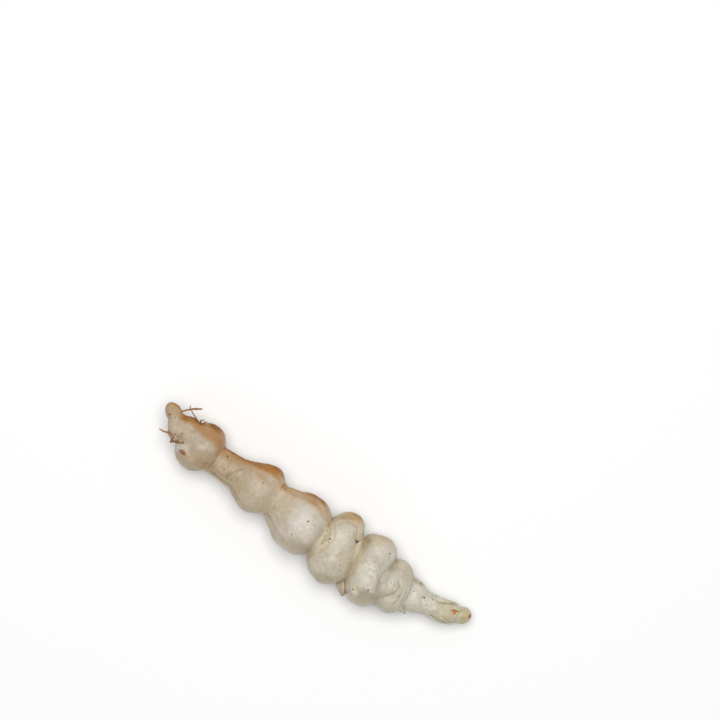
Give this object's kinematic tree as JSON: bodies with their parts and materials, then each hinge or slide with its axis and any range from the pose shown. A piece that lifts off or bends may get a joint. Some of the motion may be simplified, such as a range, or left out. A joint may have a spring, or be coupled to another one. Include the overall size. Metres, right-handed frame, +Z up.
{
  "type": "chinese artichoke tuber",
  "caption": "Knobbly whole tuber with swollen segments, a cut stolon stub, a pointed bud tip, fine rootlets and small papery scale leaves, lying on its side.",
  "frame": {"origin": "middle of the bounding box, on the surface that the tuber lies on", "axes": "+X along the tuber towards the bud tip, +Z up from the surface it lies on"},
  "size_m": [0.0782, 0.0164, 0.0134],
  "materials": {
    "tuber_skin": "smooth moist ivory skin, tan at the stub end and pale green-cream at the tip, satin",
    "rootlet": "dry thin brown bark, matt",
    "scale_leaf": "thin papery cream membrane, satin"
  },
  "bodies": {
    "root": {"tuber_body": "tuber_skin", "rootlet_long": "rootlet", "rootlet_thin": "rootlet", "rootlet_stub_a": "rootlet", "rootlet_stub_b": "rootlet", "rootlet_left": "rootlet", "rootlet_creeping": "rootlet", "scale_leaf_lower": "scale_leaf", "scale_leaf_small": "scale_leaf", "scale_leaf_upper": "scale_leaf", "scale_leaf_tip": "scale_leaf", "bud_scale_upper": "scale_leaf", "bud_scale_lower": "scale_leaf"}
  },
  "joints": []
}
